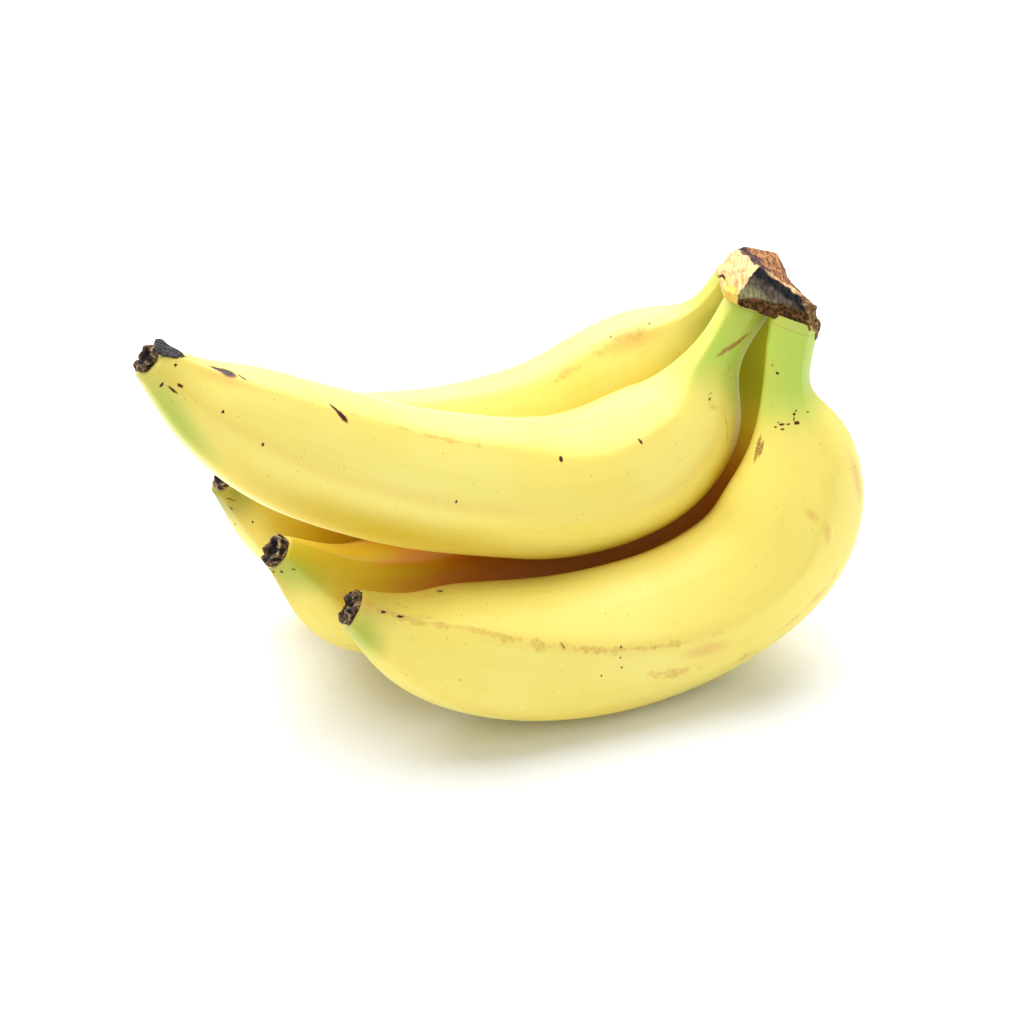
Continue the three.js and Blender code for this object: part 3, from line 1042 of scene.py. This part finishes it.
def crown_skin():
    work = bmesh.new()
    for corners in crown_hulls():
        verts = [work.verts.new(np.array(p) * MM) for p in corners]
        bmesh.ops.convex_hull(work, input=verts)
    rough = bpy.data.meshes.new("crown_hulls")
    work.to_mesh(rough)
    work.free()
    mesh = remeshed(rough, CROWN_VOXEL * MM)
    mesh.name = "crown_bark"
    return mesh


def crown_values(points):
    """What the crown's material reads at each point, by name."""
    strays = np.stack([noise_at(points, 2.0, seed) for seed in (1, 2, 3)], axis=-1)
    ragged = points + strays * CUT_RAGGED
    dark = smooth_step(sector(ragged, EDGE_LEFT, EDGE_RIGHT), -CUT_BLEND, CUT_BLEND)
    pale = smooth_step(sector(ragged, EDGE_BACK, EDGE_LEFT), -CUT_BLEND, CUT_BLEND)
    top = sector(ragged, EDGE_RIGHT, EDGE_BACK)
    strip = smooth_step(top, *STRIP_START) * smooth_step(top, *STRIP_END)
    grown = smooth_step(points[:, 0], *RIM_GROWS)
    rim_height = RIM_HEIGHTS[0] + (RIM_HEIGHTS[1] - RIM_HEIGHTS[0]) * grown
    above_rim = (points - UNDERSIDE) @ underside_normal() - rim_height
    above_rim = above_rim + noise_at(points, 3.0, 4) * RIM_STRAYS
    rim = smooth_step(above_rim, CUT_BLEND, -CUT_BLEND) * (1 - pale)
    torn_x, torn_y = TORN_END
    return {
        "pale": pale,
        "dark": dark,
        "strip": strip * smooth_step(points[:, 1], *STRIP_FAR_END),
        "rim": rim,
        "pit": pits_at(points, PIT_SIZE) * rim,
        "end": smooth_step(ragged[:, 0], *torn_x) * smooth_step(points[:, 1], *torn_y),
        "from_ridge": -past_edge(ragged, EDGE_RIGHT),
        "from_back": -past_edge(ragged, EDGE_BACK),
        "yellowing": smooth_step(ragged[:, 0], *YELLOWED),
        "crack": cut_near(ragged, CROWN_CRACK),
    }


def crown_relief(points, values):
    """How far the bark stands out at each point: lumps, cut fibres and pits, in millimetres."""
    fibres = np.array(FIBRES)
    squeezed = points - FIBRE_STRETCH * (points @ fibres)[:, None] * fibres
    return (
        noise_at(points, BARK_LUMPS[0], 5) * BARK_LUMPS[1]
        + noise_at(points, BARK_GRIT[0], 6) * BARK_GRIT[1]
        + noise_at(squeezed, FIBRE_RELIEF[0], 7) * FIBRE_RELIEF[1] * (1 - values["rim"])
        - values["pit"] * PIT_DEPTH
    )


def make_crown():
    mesh = crown_skin()
    points = np.zeros(len(mesh.vertices) * 3)
    mesh.vertices.foreach_get("co", points)
    points = points.reshape(-1, 3) / MM
    normals = np.array([vertex.normal[:] for vertex in mesh.vertices])
    values = crown_values(points)
    points = points + normals * crown_relief(points, values)[:, None]
    mesh.vertices.foreach_set("co", ((points + HAND_PLACE) * MM).ravel())
    for name in values:
        add_value(mesh, name, values[name])
    return mesh


# Blossom ends

def make_blossom_end(name, finger, seed):
    """A crumpled ring round a sunk middle, just off the end of its finger."""
    centre, forward, side, outward, _ = along_route(finger, np.array([1.0]))
    profile = catmull_rom(BLOSSOM_PROFILE, 9, 0.25)[1:-1]
    turn = np.linspace(0, 2 * math.pi, BLOSSOM_COLUMNS, endpoint=False)
    circle = np.stack([np.cos(turn), np.sin(turn), np.zeros_like(turn)], axis=-1)
    lump = 1 + 0.16 * noise_at(circle * 1.5, 1.0, seed)
    rise = 1 + 0.5 * noise_at(circle * 1.8, 1.0, seed + 7)
    size = finger["end_size"]
    rho = BLOSSOM_RADIUS * size * profile[:, 0][:, None] * lump
    lift = profile[:, 1][:, None] * np.where(profile[:, 1][:, None] > 0, rise * size, 1)
    radial = outward[:, None] * circle[:, :1] + side[:, None] * circle[:, 1:2]
    points = centre[:, None] + radial * rho[..., None] + forward[:, None] * lift[..., None]
    fold = 1 - 2 * np.abs(noise_at(points, 2.0, seed)).reshape(rho.shape)
    wrinkle = 1 - 2 * np.abs(noise_at(points, 0.9, seed + 3)).reshape(rho.shape)
    crumple = 0.65 * fold + 0.35 * wrinkle
    out = smooth_step(profile[:, 0], 0.3, 0.9)[:, None]
    way = radial * CRUMPLE_OUT + forward[:, None] * CRUMPLE_AHEAD
    points = points + way * ((crumple - 0.5) * out)[..., None]
    tubes = [points + HAND_PLACE]
    crest = [(crumple * out).ravel()]
    slate = [np.zeros(crumple.size)]
    for angle, back, width in finger.get("petals", []):
        petal = petal_grid(finger, angle, back, width, seed)
        tubes.append(petal + HAND_PLACE)
        count = petal.shape[0] * petal.shape[1]
        crest.append(np.full(count, 0.4))
        slate.append(np.ones(count))
    mesh = tube_mesh(name, tubes)
    add_value(mesh, "crest", np.concatenate(crest))
    add_value(mesh, "slate", np.concatenate(slate))
    return mesh


def petal_grid(finger, angle, back, width, seed):
    """A dried pointed petal that lies back over the tip of a finger from its blossom end."""
    length = along_route(finger, np.array([1.0]))[-1]
    rest = np.linspace(0, 1, 40)[:, None]
    offset = PETAL_START - (PETAL_START + back) * rest
    share = np.minimum(1, 1 + offset / length)
    middle, ahead, aside, away, _ = along_route(finger, share[:, 0])
    turn = math.radians(angle)
    radial = away * math.cos(turn) + aside * math.sin(turn)
    round_it = aside * math.cos(turn) - away * math.sin(turn)
    spine = middle + ahead * np.maximum(offset, 0) + radial * (radius_at(finger, share) - PETAL_SINK)
    taper = np.sqrt(np.clip(1 - rest, 0.001, 1)) * smooth_step(rest, -0.25, 0.25)
    phase = np.linspace(0, 2 * math.pi, 36, endpoint=False)[None, :]
    points = (
        spine[:, None]
        + round_it[:, None] * (width * taper * np.cos(phase))[..., None]
        + radial[:, None] * (PETAL_HALF_THICKNESS * taper * np.sin(phase))[..., None]
    )
    rough = noise_at(points, 1.6, seed + 11).reshape(points.shape[:2])
    return points + radial[:, None] * (rough * PETAL_ROUGHNESS)[..., None]


# Scene

def add_floor():
    mesh = bpy.data.meshes.new("floor")
    side = FLOOR_HALF_SIDE
    corners = [(-side, -side, 0), (side, -side, 0), (side, side, 0), (-side, side, 0)]
    mesh.from_pydata(corners, [], [(0, 1, 2, 3)])
    floor = bpy.data.objects.new("floor", mesh)
    floor.location.z = -FLOOR_DROP
    bpy.context.scene.collection.objects.link(floor)
    mesh.materials.append(floor_material())


def add_camera():
    data = bpy.data.cameras.new("camera")
    data.lens = CAMERA_LENS
    data.sensor_width = SENSOR_WIDTH
    camera = bpy.data.objects.new("camera", data)
    camera.location = CAMERA_PLACE
    camera.rotation_euler = (math.radians(90 - CAMERA_ELEVATION), 0, math.radians(CAMERA_AZIMUTH))
    bpy.context.scene.collection.objects.link(camera)
    bpy.context.scene.camera = camera


def add_top_light():
    data = bpy.data.lights.new("top_light", "AREA")
    data.shape = "DISK"
    data.size = LIGHT_SIZE
    data.energy = LIGHT_POWER
    light = bpy.data.objects.new("top_light", data)
    light.location = LIGHT_PLACE
    way = Vector(LIGHT_TARGET) - Vector(LIGHT_PLACE)
    light.rotation_euler = way.to_track_quat("-Z", "Y").to_euler()
    bpy.context.scene.collection.objects.link(light)


def add_world_light():
    world = bpy.data.worlds.new("studio")
    world.use_nodes = True
    background = world.node_tree.nodes["Background"]
    background.inputs["Color"].default_value = (1, 1, 1, 1)
    background.inputs["Strength"].default_value = WORLD_LIGHT
    bpy.context.scene.world = world
    bpy.context.scene.view_settings.view_transform = "Standard"


def scatter_far_spots(marks, seed):
    """Adds small spots on the side that has none of its own."""
    chance = random.Random(seed)
    spots = list(marks["spot"])
    for _ in range(FAR_SPOTS):
        share = chance.uniform(*FAR_SHARES)
        angle = chance.uniform(*FAR_ANGLES)
        lean = chance.uniform(*FAR_LEANS)
        half_width = chance.uniform(*FAR_WIDTHS)
        spots.append([share, angle, share + FAR_LENGTH, angle + lean, half_width])
    return {**marks, "spot": spots}


add_camera()
add_world_light()
add_top_light()
add_floor()
new_piece("crown_bark", make_crown(), crown_material(), "root", "crown")
dried = dried_material()
grids = {}
for seed, (name, finger) in enumerate(FINGERS.items()):
    grids[name] = finger_grid(name, finger, seed + 1)
closed_in(grids)
for seed, (name, finger) in enumerate(FINGERS.items()):
    grid = grids[name]
    marks = scatter_far_spots(MARKS[name], seed)
    peel = peel_material(f"peel_{name}", finger, marks, grid["length"], seed + 1)
    new_piece(f"peel_{name}", finger_mesh(f"peel_{name}", grid), peel, "root", f"banana_{name}")
    end = make_blossom_end(f"dried_end_{name}", finger, seed)
    new_piece(f"dried_end_{name}", end, dried, "root", f"blossom_end_{name}")
